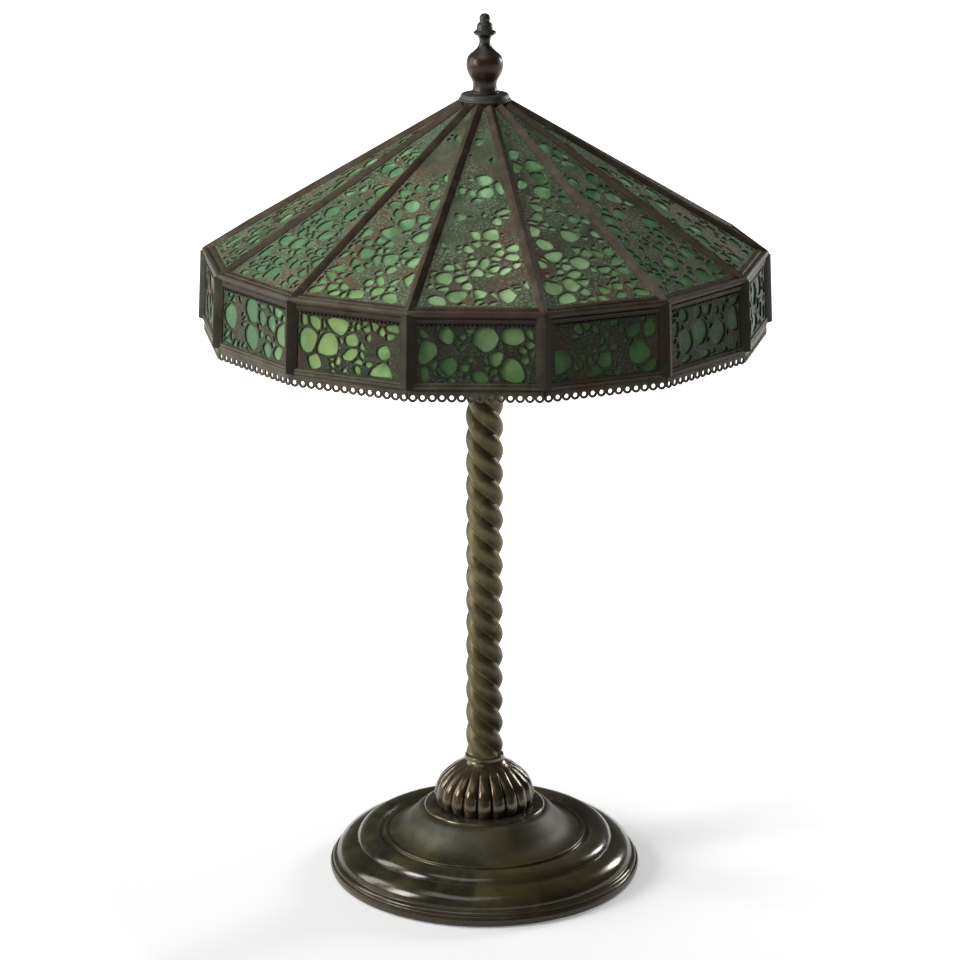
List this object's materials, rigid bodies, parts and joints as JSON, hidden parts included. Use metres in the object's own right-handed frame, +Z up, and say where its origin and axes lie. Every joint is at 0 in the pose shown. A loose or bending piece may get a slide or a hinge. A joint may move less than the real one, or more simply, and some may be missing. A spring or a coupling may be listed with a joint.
{
  "type": "table lamp",
  "caption": "Table lamp with a many-sided shade of green glass behind pierced sheet, a rope-twist stem, a gadrooned collar and a stepped round base; shade, finial, keys and bulbs turn.",
  "frame": {"origin": "centre of the base's felt pad, on the table", "axes": "+Z up along the stem, -Y towards the viewer in the picture, +X to the viewer's right"},
  "size_m": [0.4076, 0.4004, 0.64],
  "materials": {
    "felt": "felt",
    "dark_bronze": "dark patina",
    "bronze": "olive brown patina",
    "warm_bronze": "reddish brown patina",
    "came_bronze": "brown patina",
    "sheet_bronze": "green brown patina",
    "iron": "as cast",
    "steel": "zinc plated",
    "bush": "moulded",
    "wire": "insulated",
    "green_glass": "mottled opalescent",
    "brass": "satin",
    "porcelain": "glazed insulator",
    "bulb_glass": "frosted"
  },
  "bodies": {
    "base": {"felt_pad": "felt", "base_foot": "dark_bronze", "base_weight": "iron", "base_washer": "steel", "base_nut": "steel", "inlet_bush": "bush", "collar": "bronze", "stem_rope": "bronze", "stem_pipe": "steel", "wire_leads": "wire", "neck_cup": "bronze", "cluster_body": "bronze", "socket_nipples": "steel", "riser_pipe": "steel", "rest_nut": "steel", "shade_rest": "bronze", "socket_cap_1": "brass", "socket_shell_1": "brass", "socket_liner_1": "porcelain", "socket_cap_2": "brass", "socket_shell_2": "brass", "socket_liner_2": "porcelain", "socket_cap_3": "brass", "socket_shell_3": "brass", "socket_liner_3": "porcelain"},
    "shade": {"crown": "warm_bronze", "hip_cames": "came_bronze", "eaves_rails": "came_bronze", "corner_posts": "came_bronze", "bottom_rails": "came_bronze", "loop_border": "came_bronze", "cone_sheets": "sheet_bronze", "skirt_sheets": "sheet_bronze", "skirt_glasses": "green_glass", "cone_glass_1": "green_glass", "cone_glass_2": "green_glass", "cone_glass_3": "green_glass", "cone_glass_4": "green_glass", "cone_glass_5": "green_glass", "cone_glass_6": "green_glass", "cone_glass_7": "green_glass", "cone_glass_8": "green_glass", "cone_glass_9": "green_glass", "cone_glass_10": "green_glass", "cone_glass_11": "green_glass", "cone_glass_12": "green_glass", "cone_glass_13": "green_glass", "cone_glass_14": "green_glass"},
    "finial": {"finial": "warm_bronze"},
    "key_1": {"socket_key_1": "brass"},
    "bulb_1": {"bulb_base_1": "brass", "bulb_glass_1": "bulb_glass"},
    "key_2": {"socket_key_2": "brass"},
    "bulb_2": {"bulb_base_2": "brass", "bulb_glass_2": "bulb_glass"},
    "key_3": {"socket_key_3": "brass"},
    "bulb_3": {"bulb_base_3": "brass", "bulb_glass_3": "bulb_glass"}
  },
  "joints": [
    {"name": "shade_turn", "type": "hinge", "parent": "base", "child": "shade", "pos_m": [0, 0, 0.565], "axis": [0, 0, 1], "continuous": true},
    {"name": "finial_turn", "type": "hinge", "parent": "base", "child": "finial", "pos_m": [0, 0, 0.5842], "axis": [0, 0, 1], "continuous": true},
    {"name": "key_1_turn", "type": "hinge", "parent": "base", "child": "key_1", "pos_m": [0, 0.049, 0.446], "axis": [0, 0, -1], "continuous": true},
    {"name": "bulb_1_turn", "type": "hinge", "parent": "base", "child": "bulb_1", "pos_m": [0, 0.08, 0.446], "axis": [0, 1, 0], "range_deg": [0, 1080]},
    {"name": "key_2_turn", "type": "hinge", "parent": "base", "child": "key_2", "pos_m": [-0.04244, -0.0245, 0.446], "axis": [0, 0, -1], "continuous": true},
    {"name": "bulb_2_turn", "type": "hinge", "parent": "base", "child": "bulb_2", "pos_m": [-0.06928, -0.04, 0.446], "axis": [-0.866, -0.5, 0], "range_deg": [0, 1080]},
    {"name": "key_3_turn", "type": "hinge", "parent": "base", "child": "key_3", "pos_m": [0.04244, -0.0245, 0.446], "axis": [0, 0, -1], "continuous": true},
    {"name": "bulb_3_turn", "type": "hinge", "parent": "base", "child": "bulb_3", "pos_m": [0.06928, -0.04, 0.446], "axis": [0.866, -0.5, 0], "range_deg": [0, 1080]}
  ]
}
